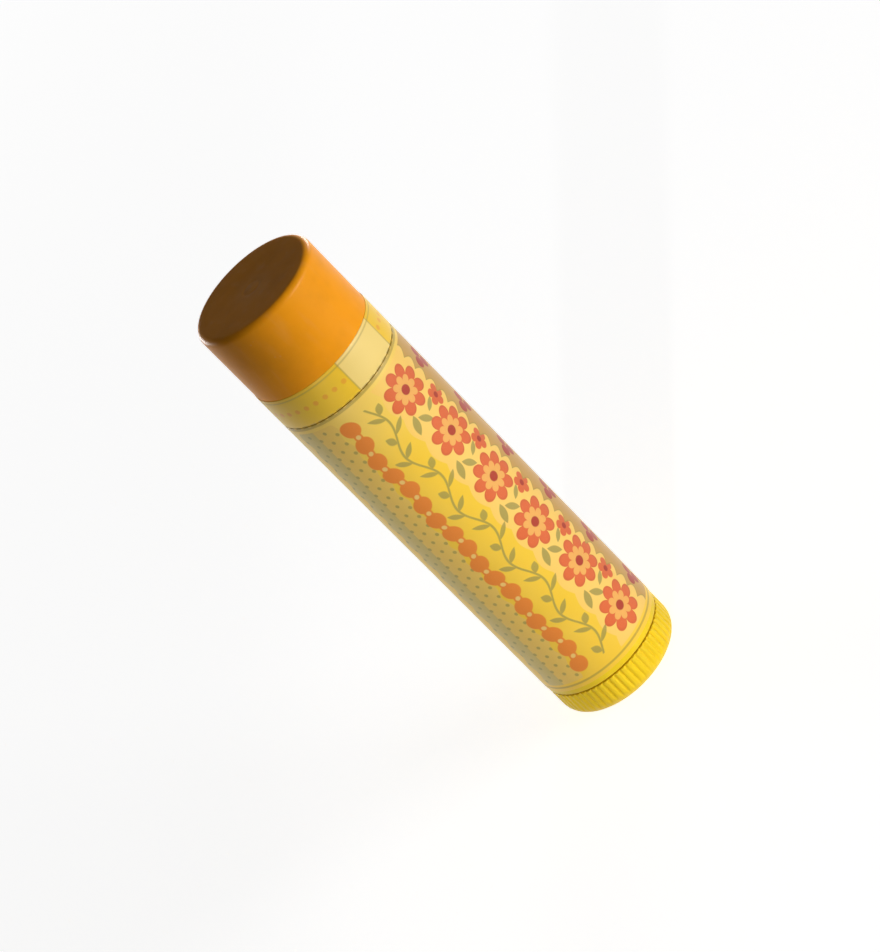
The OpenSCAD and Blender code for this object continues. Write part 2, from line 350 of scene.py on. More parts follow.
class Value:
    """An output of a shader node. Sums, products and abs of values add the nodes that work them out."""

    def __init__(self, nodes, socket):
        self.nodes, self.socket = nodes, socket

    def __add__(self, other):
        return self.nodes.math("ADD", self, other)

    def __sub__(self, other):
        return self.nodes.math("SUBTRACT", self, other)

    def __rsub__(self, other):
        return self.nodes.math("SUBTRACT", other, self)

    def __mul__(self, other):
        return self.nodes.math("MULTIPLY", self, other)

    def __abs__(self):
        return self.nodes.math("ABSOLUTE", self)

    __radd__, __rmul__ = __add__, __mul__


class Nodes:
    """A tree of shader nodes being put together."""

    def __init__(self, owner):
        owner.use_nodes = True
        self.tree = owner.node_tree
        self.tree.nodes.clear()

    def node(self, kind, inputs=None, **settings):
        """A new node with its settings, and with values, numbers or colours on the inputs named."""
        node = self.tree.nodes.new(kind)
        for key, setting in settings.items():
            setattr(node, key, setting)
        for key, value in (inputs or {}).items():
            self.feed(node.inputs[key], value)
        return node

    def value(self, kind, output=0, inputs=None, **settings):
        """One output of a new node."""
        return Value(self, self.node(kind, inputs, **settings).outputs[output])

    def feed(self, socket, value):
        """Links a value to a socket, or sets the socket to a number or colour."""
        if isinstance(value, Value):
            self.tree.links.new(value.socket, socket)
        elif socket.type == "RGBA":
            socket.default_value = (*value[:3], 1)
        else:
            socket.default_value = value

    def math(self, operation, *values):
        """One step of arithmetic."""
        return self.value("ShaderNodeMath", inputs=dict(enumerate(values)), operation=operation)

    def most(self, a, b):
        """The larger of a and b."""
        return self.math("MAXIMUM", a, b)

    def reach(self, x, y):
        """The distance of (x, y) from the origin: the root of x squared plus y squared."""
        return self.math("SQRT", x * x + y * y)

    def parts(self, vector):
        """The x, y and z of a vector."""
        node = self.node("ShaderNodeSeparateXYZ", {0: vector})
        return [Value(self, output) for output in node.outputs]

    def fold(self, value, pitch):
        """The distance from the middle of the value's cell, from minus to plus half a pitch."""
        return self.math("WRAP", value, pitch / 2, -pitch / 2)

    def cell(self, value, pitch):
        """The number of the cell that fold puts the value in."""
        return self.math("FLOOR", self.math("MULTIPLY_ADD", value, 1 / pitch, 0.5))

    def step(self, value, low, high):
        """An S-curve that is 0 where value is at low and 1 where it is at high."""
        ends = {"Value": value, "From Min": low, "From Max": high}
        return self.value("ShaderNodeMapRange", inputs=ends, interpolation_type="SMOOTHSTEP")

    def spread(self, value, low, high):
        """A value from 0 to 1 stretched to run from low to high."""
        return self.math("MULTIPLY_ADD", value, high - low, low)


class Finish(Nodes):
    """A procedural material: one Principled shader, whose sockets are fed by patterns in Object
    coordinates. Tone is the colour so far. Widths and reliefs are given in millimetres."""

    speck_rim, speck_core = 0.32, 0.18

    def __init__(self, name, tone, roughness=0.5, specular=0.5):
        self.material = bpy.data.materials.new(name)
        super().__init__(self.material)
        self.shader = self.node("ShaderNodeBsdfPrincipled")
        self.set(Roughness=roughness, Specular_IOR_Level=specular)
        self.node("ShaderNodeOutputMaterial", {"Surface": Value(self, self.shader.outputs[0])})
        self.place = self.value("ShaderNodeTexCoord", "Object")
        self.tone, self.normal = tone, None

    def set(self, **values):
        """Feeds the shader's own sockets, with underscores for the spaces in their names."""
        for key, value in values.items():
            self.feed(self.shader.inputs[key.replace("_", " ")], value)

    def tint(self, mask, tone, share=1.0):
        """Mixes a colour into the tone so far, at a share of the mask."""
        inputs = {0: mask * share, 6: self.tone, 7: tone}
        self.tone = self.value("ShaderNodeMix", 2, inputs, data_type="RGBA")

    def noise(self, width, detail=3, stretch=(1, 1, 1), roughness=0.55):
        """Noise from 0 to 1 whose blobs are about a width across, drawn out along the axes by
        stretch."""
        scale = [1 / (width * MM * s) for s in stretch]
        place = self.value("ShaderNodeMapping", inputs={"Vector": self.place, "Scale": scale})
        inputs = {"Vector": place, "Scale": 1, "Detail": detail, "Roughness": roughness}
        return self.value("ShaderNodeTexNoise", "Fac", inputs)

    def clouds(self, low, high, width, **settings):
        """Noise with clear gaps: 0 where it is at low and 1 where it is at high."""
        return self.step(self.noise(width, **settings), low, high)

    def specks(self, width, share):
        """1 in small round specks and 0 between them: a share of the cells, each a width across, holds
        one."""
        cells = self.node("ShaderNodeTexVoronoi", {"Vector": self.place, "Scale": 1 / (width * MM)})
        distance, tone = (Value(self, cells.outputs[key]) for key in ("Distance", "Color"))
        red = self.value("ShaderNodeSeparateColor", inputs={0: tone})
        chosen = self.math("GREATER_THAN", red, 1 - share)
        return chosen * self.step(distance, self.speck_rim, self.speck_core)

    def bump(self, height, relief, strength):
        """Adds relief: a height from 0 to 1 stands for 0 to the relief."""
        inputs = {"Height": height, "Strength": strength, "Distance": relief * MM}
        if self.normal:
            inputs["Normal"] = self.normal
        self.normal = self.value("ShaderNodeBump", inputs=inputs)
        self.set(Normal=self.normal)


def moulded(name, base, roughness, specular, gate_z, glow=0.06):
    """Moulded plastic: clouds of a deeper shade, paler flow lines and a blush round the gate, fine
    orange peel, upright draw marks from the mould, specks of dust, and soft rub marks in the gloss."""
    f = Finish(name, base, specular=specular)
    deep, pale = shaded(base, 0.86), toward(base, (1, 1, 1), 0.14)
    f.tint(f.clouds(0.35, 0.75, width=4, detail=4), deep, share=0.55)
    f.tint(f.clouds(0.5, 0.8, width=1.6, stretch=(1, 1, 6)), pale, share=0.25)
    x, y, z = f.parts(f.place)
    f.tint(f.step(f.reach(f.reach(x, y), z - gate_z), 4 * MM, 0.3 * MM), pale, share=0.3)
    dust = f.specks(width=0.5, share=0.02)
    f.tint(dust, pale, share=0.3)
    draw = f.noise(width=0.25, detail=2, stretch=(1, 1, 40))
    rub = f.noise(width=2.2, detail=4, stretch=(1, 1, 0.5), roughness=0.7)
    gloss = f.spread(rub, roughness - 0.07, roughness + 0.09) + f.step(draw, 0.55, 0.8) * 0.05
    f.set(Base_Color=f.tone, Roughness=gloss)
    f.set(Subsurface_Weight=glow, Subsurface_Radius=(1.0, 0.5, 0.2), Subsurface_Scale=0.8 * MM)
    f.bump(f.noise(width=0.5, detail=2), relief=0.012, strength=0.7)
    f.bump(draw, relief=0.004, strength=0.8)
    f.bump(dust, relief=0.015, strength=0.5)
    return f.material


def body_plastic(c):
    """The yellow plastic that the barrel and the wheel share, made once."""
    made = bpy.data.materials.get("body_plastic")
    return made or moulded("body_plastic", c.body_yellow, roughness=0.38, specular=0.3, gate_z=0.0)


def poured_wax(c):
    """Poured wax: pale and a little see-through, mottled where it set, with faint flow lines, frost and tiny
    pits, which are tinted darker with painted shade."""
    f = Finish("poured_wax", c.wax, specular=0.25)
    f.tint(f.clouds(0.3, 0.75, width=3, detail=4), toward(c.wax, paint(255, 243, 210), 0.6))
    f.tint(f.clouds(0.55, 0.8, width=0.7), shaded(c.wax, 0.86), share=0.35)
    pits = f.specks(width=0.9, share=0.12)
    # Painted shade: the pits are tinted darker, as shade would fall in them.
    f.tint(pits, shaded(c.wax, 0.7), share=0.35)
    f.set(Base_Color=f.tone, Roughness=f.spread(f.noise(width=1.5, detail=4), 0.48, 0.72))
    f.set(Subsurface_Weight=0.5, Subsurface_Radius=(1.0, 0.85, 0.7), Subsurface_Scale=1.6 * MM)
    f.bump(f.noise(width=1.1, detail=2, stretch=(3, 3, 0.4)), relief=0.03, strength=0.5)
    f.bump(f.noise(width=0.35), relief=0.008, strength=0.8)
    f.bump(1.0 - pits, relief=0.03, strength=0.6)
    return f.material


class PrintedFilm(Finish):
    """Printed film. Its places are in millimetres on the wrap: s runs round from the front of the
    stick, positive towards +X, h is the height, and x is s folded so that the pattern comes twice
    round.

    Distances to a shape are negative inside it, and edge is the width over which ink fades out. A
    value that ends in share is a share of the size that it follows. The sizes of the print become
    attributes too."""

    edge = 0.14
    foot_margin, tear_margin, plate_margin = 1.15, 1.0, 0.3
    pale_reach, pale_share = 12, 0.45
    peach_x, peach_half, peach_swing = 5.1, 3.35, 0.55
    sage_x, sage_half, sage_swing, sage_wave_share = -7.4, 2.75, 0.22, 2.5
    moss_x, row_share, dot_share, dot_margin = -7.6, 0.64, 0.19, 0.2
    garland_x, garland_sway, garland_margin = -3.6, 0.25, 0.25
    ribbon_share, drop_share = 0.45, 0.26
    vine_x, vine_sway, vine_lag, vine_margin, stem_half = -0.35, 0.75, 0.8, 0.3, 0.14
    bloom_x, bloom_sway, bloom_lag, bloom_turn, bloom_margin = 4.8, 0.35, 2.1, 0.9, 0.3
    petal_count, petal_power, valley_share, inner_share, heart_share = 8, 0.55, 0.58, 0.58, 0.2
    rim_in, rim_out = -0.42, -0.06
    bud_x, bud_petals, bud_turn, bud_heart_share = 7.2, 5, 0.4, 0.27
    border_x, border_line, berry_x = 7.8, 0.1, 9.7
    plate_corner, plate_line = 1.8, 0.13
    crest_down, crest_share, crest_leaf_x_share, crest_leaf_share = 3.4, 1.2, 1.9, 0.8
    band_edge, band_line, band_dots, band_dot_r = 0.1, 0.09, 38, 0.32
    bare_x_dots, bare_half_dots = 3, 2.5
    slit_count, slit_half, slit_low, slit_high = 40, 0.42, 0.2, 0.12

    # The rings under the cap, under the tear line and over the foot: each one's rise from there, half
    # its width and its share of ink
    olive_rings = (-0.45, 0.1, 0.5), (-0.35, 0.18, 0.7), (0.65, 0.14, 0.7)

    # Each leaf of the vine: its place aside, in half lengths, its rise and its lean
    vine_leaves = (0.8, 0.35, 0.7), (-0.8, -0.55, 2.4)

    # Each leaf between two blossoms: its x, its rise, its lean and half its length
    bloom_leaves = (2.4, 0.1, 1.2, 1.25), (3.8, -0.25, 2.2, 1.1), (5.5, 0.3, 0.5, 0.9)

    # Each berry of a cluster: its place aside and its rise, in radii
    berries = (0, -0.8), (1.75, 0.2), (1.6, -1.95)

    def __init__(self, name, c, p):
        super().__init__(name, c.ground)
        self.c = c
        for size in p.__annotations__:
            setattr(self, size, getattr(p, size) / MM)
        along, up, _ = self.parts(self.value("ShaderNodeUVMap", uv_map="wrap"))
        self.girth = 2 * math.pi * LABEL[1][0] / MM
        self.s = self.spread(along, -self.girth / 2, self.girth / 2)
        self.h = up * (STICK_H / MM)
        self.x = self.fold(self.s, self.girth / 2)
        self.foot, self.tear, self.top = LABEL[0][2] / MM, BAND[0][2] / MM, BAND[1][2] / MM
        self.low, self.high = self.foot + self.foot_margin, self.tear - self.tear_margin
        aside = self.girth / 2 - self.plate_w / 2 + self.plate_margin
        self.field = self.between(self.h, self.low, self.high) * self.between(self.s, -aside, aside)

    def place_blossoms(self):
        """Sets the places that the layers of the blossoms share: the height above the first blossom's
        middle, the heights from the middle of a blossom and of a gap between two, 1 over the run of
        blossoms and 1 over the gaps."""
        pitch = self.bloom_pitch
        low, high = self.run(pitch, self.bloom_r + self.bloom_margin)
        self.raised = self.h - low
        self.up, self.gap_up = self.fold(self.raised, pitch), self.fold(self.raised + pitch / 2, pitch)
        self.rows = self.between(self.h, low - pitch / 2, high + pitch / 2)
        self.gaps = self.between(self.h, low, high)

    def run(self, pitch, margin):
        """The ends of the longest run of whole pitches that fits in the field, with a margin at both
        ends."""
        middle = (self.low + self.high) / 2
        half = math.floor((self.high - self.low - 2 * margin) / pitch) * pitch / 2
        return middle - half, middle + half

    def inside(self, distance):
        """1 where a distance is below zero, with a soft edge."""
        return self.step(distance, self.edge / 2, -self.edge / 2)

    def strip(self, across, half):
        """1 where a place across lies within a half width of 0."""
        return self.inside(abs(across) - half)

    def between(self, value, low, high):
        """1 where the value lies between low and high."""
        return self.strip(value - (low + high) / 2, (high - low) / 2)

    def dot(self, dx, dy, radius):
        """1 inside a round dot."""
        return self.inside(self.reach(dx, dy) - radius)

    def wave(self, value, pitch, lag=0.0):
        """A sine of the value, one turn to a pitch."""
        return self.math("SINE", self.math("MULTIPLY_ADD", value, 2 * math.pi / pitch, lag))

    def blossom(self, dx, dy, radius, petals, turn):
        """Distance to a blossom: the distance from its middle less a reach, which swings between round
        petals from a share of the radius to all of it with a power of the cosine of the angle."""
        angle = self.math("ARCTAN2", dy, dx) + turn
        swing = self.math("POWER", abs(self.math("COSINE", angle * (petals / 2))), self.petal_power)
        return self.reach(dx, dy) - self.spread(swing, radius * self.valley_share, radius)

    def leaf(self, dx, dy, turn, half, slim=0.38):
        """1 inside a leaf: the place across it less a width that falls off with the square of the place
        along it."""
        along = dx * (math.cos(turn) / half) + dy * (math.sin(turn) / half)
        across = dy * math.cos(turn) - dx * math.sin(turn)
        return self.strip(across, (1.0 - along * along) * (slim * half))

    def lay(self, shape, tone, share=1.0):
        """Prints a colour inside a shape on the label's field, where tint prints all over the film."""
        self.tint(shape * self.field, tone, share)

    def panels(self):
        """The golden ground, paler towards the cap; a peach panel whose half width swings with a sine
        without its sign, widest at the blossoms; and a waved sage panel, deeper at its far side, with
        dots in staggered rows."""
        c, dots = self.c, self.dot_pitch
        paling = self.step(self.h, self.tear - self.pale_reach, self.tear)
        self.tint(paling, toward(c.ground, c.cream, self.pale_share))
        self.tint(self.noise(width=6), c.cream, share=0.2)
        swing = abs(self.wave(self.raised, self.bloom_pitch, math.pi / 2))
        half = swing * self.peach_swing + self.peach_half
        self.lay(self.strip(self.x - self.peach_x, half), c.peach)
        half = self.wave(self.h, dots * self.sage_wave_share) * self.sage_swing + self.sage_half
        sage = self.strip(self.x - self.sage_x, half)
        self.lay(sage, c.sage)
        self.lay(sage * self.inside(self.x - self.moss_x), c.moss)
        rise = dots * self.row_share
        low, high = self.run(rise, self.dot_margin)
        stagger = self.h - (low + rise / 2) - self.cell(self.x, dots) * rise
        dotted = self.dot(self.fold(self.x, dots), self.fold(stagger, rise * 2), dots * self.dot_share)
        self.lay(dotted * sage * self.between(self.h, low, high), c.leaf, share=0.7)

    def garland(self):
        """Beads on a ribbon that sways with a sine, with a pale drop between one bead and the next."""
        bead, pitch = self.bead_r, self.bead_pitch
        low, high = self.run(pitch, bead + self.garland_margin)
        up, threaded = self.h - low, self.between(self.h, low, high)
        across = self.x - self.garland_x - self.wave(self.h, self.vine_pitch) * self.garland_sway
        ribbon = self.strip(across, bead * self.ribbon_share) * threaded
        beads = self.dot(across, self.fold(up, pitch), bead)
        beads = beads * self.between(self.h, low - pitch / 2, high + pitch / 2)
        drops = self.dot(across, self.fold(up + pitch / 2, pitch), bead * self.drop_share)
        self.lay(self.most(ribbon, beads), self.c.ribbon)
        self.lay(drops * threaded, self.c.cream, share=0.8)

    def vine(self):
        """A stem that sways with a sine, and a leaf on each side of it three times in a wave."""
        half, step = self.leaf_l, self.vine_pitch / 3
        sway = self.wave(self.h, self.vine_pitch, self.vine_lag) * self.vine_sway
        across = self.x - self.vine_x - sway
        low, high = self.run(step, self.vine_margin)
        up = self.fold(self.h - (low + step / 2), step)
        vine = self.strip(across, self.stem_half)
        for aside, rise, lean in self.vine_leaves:
            vine = self.most(vine, self.leaf(across - aside * half, up - rise, lean, half))
        self.lay(vine * self.between(self.h, low, high), self.c.leaf, share=0.8)

    def leaves(self):
        """Leaves in the gaps between the big blossoms."""
        for leaf_x, rise, lean, half in self.bloom_leaves:
            leaf = self.leaf(self.x - leaf_x, self.gap_up - rise, lean, half)
            self.lay(leaf * self.gaps, self.c.leaf, share=0.85)

    def blossoms(self):
        """Big blossoms up the peach panel, each turned and set aside a little by its number, with a
        darker rim, a paler inner blossom and a round heart."""
        c, big, petals = self.c, self.bloom_r, self.petal_count
        number = self.cell(self.raised, self.bloom_pitch)
        across = self.x - self.bloom_x - self.math("SINE", number * self.bloom_lag) * self.bloom_sway
        turn = number * self.bloom_turn
        outer = self.blossom(across, self.up, big, petals, turn)
        inner = self.blossom(across, self.up, big * self.inner_share, petals, turn + math.pi / petals)
        bloom, rim = self.inside(outer) * self.rows, self.step(outer, self.rim_in, self.rim_out)
        self.lay(bloom, c.coral)
        self.lay(bloom * rim, shaded(c.coral, 0.7), share=0.4)
        self.lay(self.inside(inner) * self.rows, toward(c.coral, c.peach, 0.7), share=0.85)
        self.lay(self.dot(across, self.up, big * self.heart_share) * self.rows, c.berry)

    def buds(self):
        """A small blossom in each gap between the big ones."""
        across, bud = self.x - self.bud_x, self.bud_r
        petals = self.inside(self.blossom(across, self.gap_up, bud, self.bud_petals, self.bud_turn))
        self.lay(petals * self.gaps, self.c.coral)
        self.lay(self.dot(across, self.gap_up, bud * self.bud_heart_share) * self.gaps, self.c.berry)

    def berry_border(self):
        """A deeper border, whose side is scalloped with a sine without its sign, and a cluster of
        berries on it beside each big blossom."""
        c, berry = self.c, self.berry_r
        beside = abs(self.wave(self.h, self.bloom_pitch / 2)) + self.border_x - self.x
        self.lay(self.inside(beside), c.border)
        self.lay(self.strip(beside, self.border_line), c.olive, share=0.8)
        for aside, rise in self.berries:
            across = self.x - (self.berry_x + aside * berry)
            self.lay(self.dot(across, self.up - rise * berry, berry) * self.rows, c.berry)

    def plate(self):
        """The bare panel with round corners over the seam at the back, with a thin olive line round it
        and a small blossom between two leaves at each end."""
        c, corner = self.c, self.plate_corner
        half_w, half_h = self.plate_w / 2, self.plate_h / 2
        behind, above = self.girth / 2 - abs(self.s), abs(self.h - (self.foot + self.tear) / 2)
        corner_x = self.most(behind - (half_w - corner), 0.0)
        corner_y = self.most(above - (half_h - corner), 0.0)
        distance = self.reach(corner_x, corner_y) - corner
        self.tint(self.inside(distance), toward(c.cream, c.ground, 0.25))
        self.tint(self.strip(distance, self.plate_line), c.olive, share=0.8)
        bud, crest = self.bud_r * self.crest_share, above - (half_h - self.crest_down)
        beside = behind - bud * self.crest_leaf_x_share
        self.tint(self.leaf(beside, crest, 0.0, bud * self.crest_leaf_share), c.leaf, share=0.8)
        self.tint(self.inside(self.blossom(behind, crest, bud, self.petal_count, 0.0)), c.coral)
        self.tint(self.dot(behind, crest, bud * self.bud_heart_share), c.berry)

    def tear_band(self):
        """The tear band: golden, with a row of dots, and a bare cream field between two upright lines,
        as high as the band."""
        c, pitch = self.c, self.girth / self.band_dots
        band = self.step(self.h, self.tear - self.band_edge, self.tear)
        self.tint(band, c.ground)
        dots = self.dot(self.fold(self.s, pitch), self.h - (self.tear + self.top) / 2, self.band_dot_r)
        self.tint(dots * band, toward(c.ribbon, c.ground, 0.3), share=0.75)
        beyond = abs(self.x - self.bare_x_dots * pitch) - self.bare_half_dots * pitch
        self.tint(self.inside(beyond) * band, c.cream)
        self.tint(self.strip(beyond, self.band_line) * band, c.olive, share=0.6)

    def rings(self):
        """Thin olive rings under the cap, under the tear line and over the foot, and the slits of the
        perforation on both sides of the tear line, tinted darker with painted shade in the cuts."""
        for level, (rise, half, share) in zip((self.top, self.tear, self.foot), self.olive_rings):
            self.tint(self.strip(self.h - (level + rise), half), self.c.olive, share)
        slits = self.strip(self.fold(self.s, self.girth / self.slit_count), self.slit_half)
        self.slits = slits * self.between(self.h, self.tear - self.slit_low, self.tear + self.slit_high)
        # Painted shade: the slits of the perforation are tinted darker, as shade in the cuts.
        self.tint(self.slits, shaded(self.c.olive, 0.5), share=0.5)

    def film(self):
        """The film itself: a fine print grain, scuffs in the gloss, a clear coat and slow waves."""
        grain = self.noise(width=0.12, detail=2)
        scuff = self.noise(width=1.2, detail=4, stretch=(1, 1, 3), roughness=0.7)
        self.tint(self.step(grain, 0.5, 0.9), self.c.cream, share=0.1)
        self.set(Base_Color=self.tone, Roughness=self.spread(scuff, 0.33, 0.5))
        self.set(Coat_Weight=0.22, Coat_Roughness=0.36, Specular_IOR_Level=0.4)
        self.bump(self.noise(width=5, detail=2, stretch=(1, 1, 2.5)), relief=0.05, strength=0.35)
        self.bump(grain, relief=0.003, strength=0.6)
        self.bump(1.0 - self.slits, relief=0.04, strength=0.8)


def printed_film(c, p):
    """The film's material, its layers of ink laid from the ground up."""
    f = PrintedFilm("printed_film", c, p)
    f.place_blossoms()
    pattern = f.panels, f.garland, f.vine, f.leaves, f.blossoms, f.buds, f.berry_border
    for layer in (*pattern, f.plate, f.tear_band, f.rings, f.film):
        layer()
    return f.material


# Operators


class MakeCap(bpy.types.Operator):
    """Makes the pull-off cap: a cup with a rounded top edge, a faint sink and gate mark, and a
    chamfered mouth"""

    bl_idname = "balm_stick.cap"
    bl_label = "Cap"

    def execute(self, context):
        """The section runs from the middle of the ceiling, down the bore, round the mouth and up the
        side to the middle of the top."""
        sizes, c = context.scene.balm_sizes, context.scene.balm_colours
        low, top = CAP[0][2], CAP[1][2]
        bore, ceiling = sizes.cap_bore_r, top - sizes.cap_top_t
        section = rounded(
            [
                (0, ceiling, 0),
                (bore, ceiling, CAP_INSIDE_R),
                (bore, low + CAP_MOUTH_W, CAP_MOUTH_W / 3),
                (bore + CAP_MOUTH_W, low, CAP_MOUTH_W / 10),
                (TUBE_R, low, CAP_MOUTH_W / 4),
                (TUBE_R, top, sizes.cap_edge_r),
                (GATE_REACH, top, 0),
                (0, top, 0),
            ],
            steps=10,
        )

        def reshape(radius, height, angle):
            """The top sinks by cap_sink at its middle, fading to nothing at the round edge with an
            S-curve, and a ring and a pip mark the gate, each with the shape of a bell."""
            sink = sizes.cap_sink * (1 - smooth(radius / (TUBE_R - sizes.cap_edge_r)))
            mark = GATE_DEEP * (hill(radius - GATE_RING_R, GATE_RING_W) - 0.6 * hill(radius, 2 * GATE_RING_W))
            return radius, np.where(height > top - HAIR, height - sink - mark, height)

        cap = turned("cap_shell", denser(section, longest=0.45 * MM), count=192, reshape=reshape)
        finish = moulded("cap_plastic", c.cap_orange, roughness=0.4, specular=0.15, gate_z=top)
        settle(cap, "cap", "cap", finish)
        return {"FINISHED"}


class MakeFilm(bpy.types.Operator):
    """Makes the printed film: the label round the barrel and the tear band on the cap, lapped at the
    back"""

    bl_idname = "balm_stick.film"
    bl_label = "Label and tear band"

    def execute(self, context):
        """Each film is a closed ring whose section runs up its outer face and down its inner one."""
        sizes, scene = context.scene.balm_sizes, context.scene
        finish = printed_film(scene.balm_colours, scene.balm_print)
        outer = LABEL[1][0]
        middle, edge = (TUBE_R + outer) / 2, (outer - TUBE_R) / 3

        def reshape(radius, height, angle):
            """The outer face lies in by the film's step, but for the lap behind, up to which it rises
            with an S-curve on one side and from which it drops sharply on the other."""
            arc = ((angle + math.pi / 2) % (2 * math.pi) - math.pi) * outer
            lap = smooth((arc + sizes.lap_w / 2) / (sizes.lap_w / 3)) * (arc < sizes.lap_w / 2)
            return np.where(radius > middle, radius - sizes.film_step * (1 - lap), radius), height

        for name, box, body, node in (
            ("printed_label", LABEL, "barrel", "wrap_label"),
            ("tear_strip", BAND, "cap", "tear_band"),
        ):
            low, high = box[0][2], box[1][2]
            corners = [(TUBE_R, low, 0), (outer, low, edge), (outer, high, edge), (TUBE_R, high, 0)]
            section = rounded([*corners, (TUBE_R, (low + high) / 2, 0)], steps=3)
            section = denser(section, longest=1.2 * MM)
            film = turned(name, section, 480, reshape, closed=True, start=math.pi / 2)
            settle(film, body, node, finish)
        return {"FINISHED"}


class MakeBarrel(bpy.types.Operator):
    """Makes the barrel: body, shoulder, neck with its friction bead, ribbed bore, bearing plate and
    spigot"""

    bl_idname = "balm_stick.barrel"
    bl_label = "Barrel"

    bearing_edge, plate_edge, heel_edge, spigot_edge = 0.08 * MM, 0.1 * MM, 0.08 * MM, 0.15 * MM
    spigot_root, foot_edge, shoulder_edge, neck_root = 0.05 * MM, 0.3 * MM, 0.08 * MM, 0.12 * MM
    bead_edge, mouth_edge, bore_edge, floor_root = 0.1 * MM, 0.3 * MM, 0.25 * MM, 0.1 * MM
    bearing_gap, wall_reach = 0.02 * MM, 0.28 * MM

    def execute(self, context):
        """The section is one closed loop, out under the bearing plate, down and round the spigot, up
        the side and the neck, and down the bore."""
        sizes = context.scene.balm_sizes
        low, top = BARREL[0][2], BARREL[1][2]
        shoulder, foot = LABEL[1][2], LABEL[0][2] - LABEL_FOOT
        bore, neck, plate = sizes.bore_r, sizes.neck_r, foot - PLATE_T
        bead, crown = shoulder + BEAD_UP, neck + BEAD_H
        section = rounded(
            [
                (BEARING_R, plate, 0),
                (bore, plate, self.plate_edge),
                (bore, low, self.heel_edge),
                (SPIGOT_R, low, self.spigot_edge),
                (SPIGOT_R, foot, self.spigot_root),
                (TUBE_R, foot, self.foot_edge),
                (TUBE_R, shoulder, self.shoulder_edge),
                (neck, shoulder, self.neck_root),
                (neck, bead - BEAD_HALF, self.bead_edge),
                (crown, bead - BEAD_HALF / 3, self.bead_edge),
                (crown, bead + BEAD_HALF / 3, self.bead_edge),
                (neck, bead + BEAD_HALF, self.bead_edge),
                (neck, top, self.mouth_edge),
                (bore, top, self.bore_edge),
                (bore, foot, self.floor_root),
                (BEARING_R, foot, self.bearing_edge),
                (BEARING_R, plate + self.bearing_gap, 0),
            ],
            steps=5,
        )

        def reshape(radius, height, angle):
            """The bore's wall comes in by the rib's height near each guide rib, with S-curve flanks and
            a sloped top."""
            rib = bars(angle, height, bore, GUIDE_W, GUIDE_FLANK, top - GUIDE_TOP_GAP, GUIDE_SLOPE)
            wall = (np.abs(radius - bore) < self.wall_reach) & (height > foot + 2 * HAIR)
            return np.where(wall, radius - GUIDE_H * rib, radius), height

        barrel = turned("barrel_tube", denser(section, longest=0.9 * MM), 288, reshape, closed=True)
        settle(barrel, "barrel", "barrel", body_plastic(context.scene.balm_colours))
        return {"FINISHED"}


class MakeWheel(bpy.types.Operator):
    """Makes the twist wheel: a grooved cup with a recessed underside and a hub that holds the screw"""

    bl_idname = "balm_stick.wheel"
    bl_label = "Twist wheel"

    recess_root, standing_edge, rim_edge, wall_root = 0.12 * MM, 0.1 * MM, 0.12 * MM, 0.2 * MM
    hub_root, thrust_edge, journal_edge, barb_edge = 0.15 * MM, 0.08 * MM, 0.05 * MM, 0.06 * MM
    tip_edge, socket_edge, recess_draft = 0.1 * MM, 0.05 * MM, 0.05 * MM

    def execute(self, context):
        """The section runs from the middle of the underside, out and up the side, over the rim, in over
        the floor, up the thrust ring and the barbed journal, and down the socket to its middle."""
        sizes, hub_top = context.scene.balm_sizes, WHEEL[1][2]
        recess = TUBE_R - sizes.wheel_edge_r - FOOT_RING_W
        section = rounded(
            [
                (0, RECESS_DEEP, 0),
                (GATE_REACH, RECESS_DEEP, 0),
                (recess, RECESS_DEEP, self.recess_root),
                (recess + self.recess_draft, 0, self.standing_edge),
                (TUBE_R, 0, sizes.wheel_edge_r),
                (TUBE_R, WHEEL_H, self.rim_edge),
                (TUBE_R - RIM_T, WHEEL_H, self.rim_edge),
                (TUBE_R - RIM_T, WHEEL_FLOOR_T, self.wall_root),
                (THRUST_R, WHEEL_FLOOR_T, self.hub_root),
                (THRUST_R, THRUST_Z, self.thrust_edge),
                (JOURNAL_R, THRUST_Z, self.journal_edge),
                (JOURNAL_R, BARB_Z, self.journal_edge),
                (JOURNAL_R + BARB_W, BARB_Z, self.barb_edge),
                (JOURNAL_R, hub_top, self.tip_edge),
                (KEY_R, hub_top, self.socket_edge),
                (KEY_R, WHEEL_FLOOR_T, 0),
                (0, WHEEL_FLOOR_T, 0),
            ],
        )

        def reshape(radius, height, angle):
            """The side's radius is no more than the full one less the groove's depth times an S-curve
            of the distance to the nearest groove. The socket's is no more than its corner radius times
            the cosine of 30 degrees, over the cosine of the angle from the middle of its flat. A
            bell-shaped ring marks the gate under the foot."""
            gap = near_bar(angle, GRIP_COUNT, 0, TUBE_R)
            ribbed = TUBE_R - sizes.groove_depth * smooth((GRIP_HALF - gap) / GRIP_HALF)
            side = (radius > TUBE_R - RIM_T / 2) & (height < WHEEL_H + HAIR)
            from_flat = angle % (math.pi / 3) - math.pi / 6
            flat = KEY_R * math.cos(math.pi / 6) / np.cos(from_flat)
            socket = (radius < KEY_R + 4 * HAIR) & (height > WHEEL_FLOOR_T - HAIR)
            radius = np.minimum(radius, np.where(side, ribbed, np.where(socket, flat, radius)))
            ring = GATE_DEEP * hill(radius - GATE_RING_R, GATE_RING_W)
            under = (height < RECESS_DEEP + HAIR) & (radius < GATE_REACH + HAIR)
            return radius, np.where(under, height + ring, height)

        wheel = turned("ribbed_wheel", denser(section, longest=1.2 * MM), 10 * GRIP_COUNT, reshape)
        settle(wheel, "wheel", "twist_wheel", body_plastic(context.scene.balm_colours))
        return {"FINISHED"}


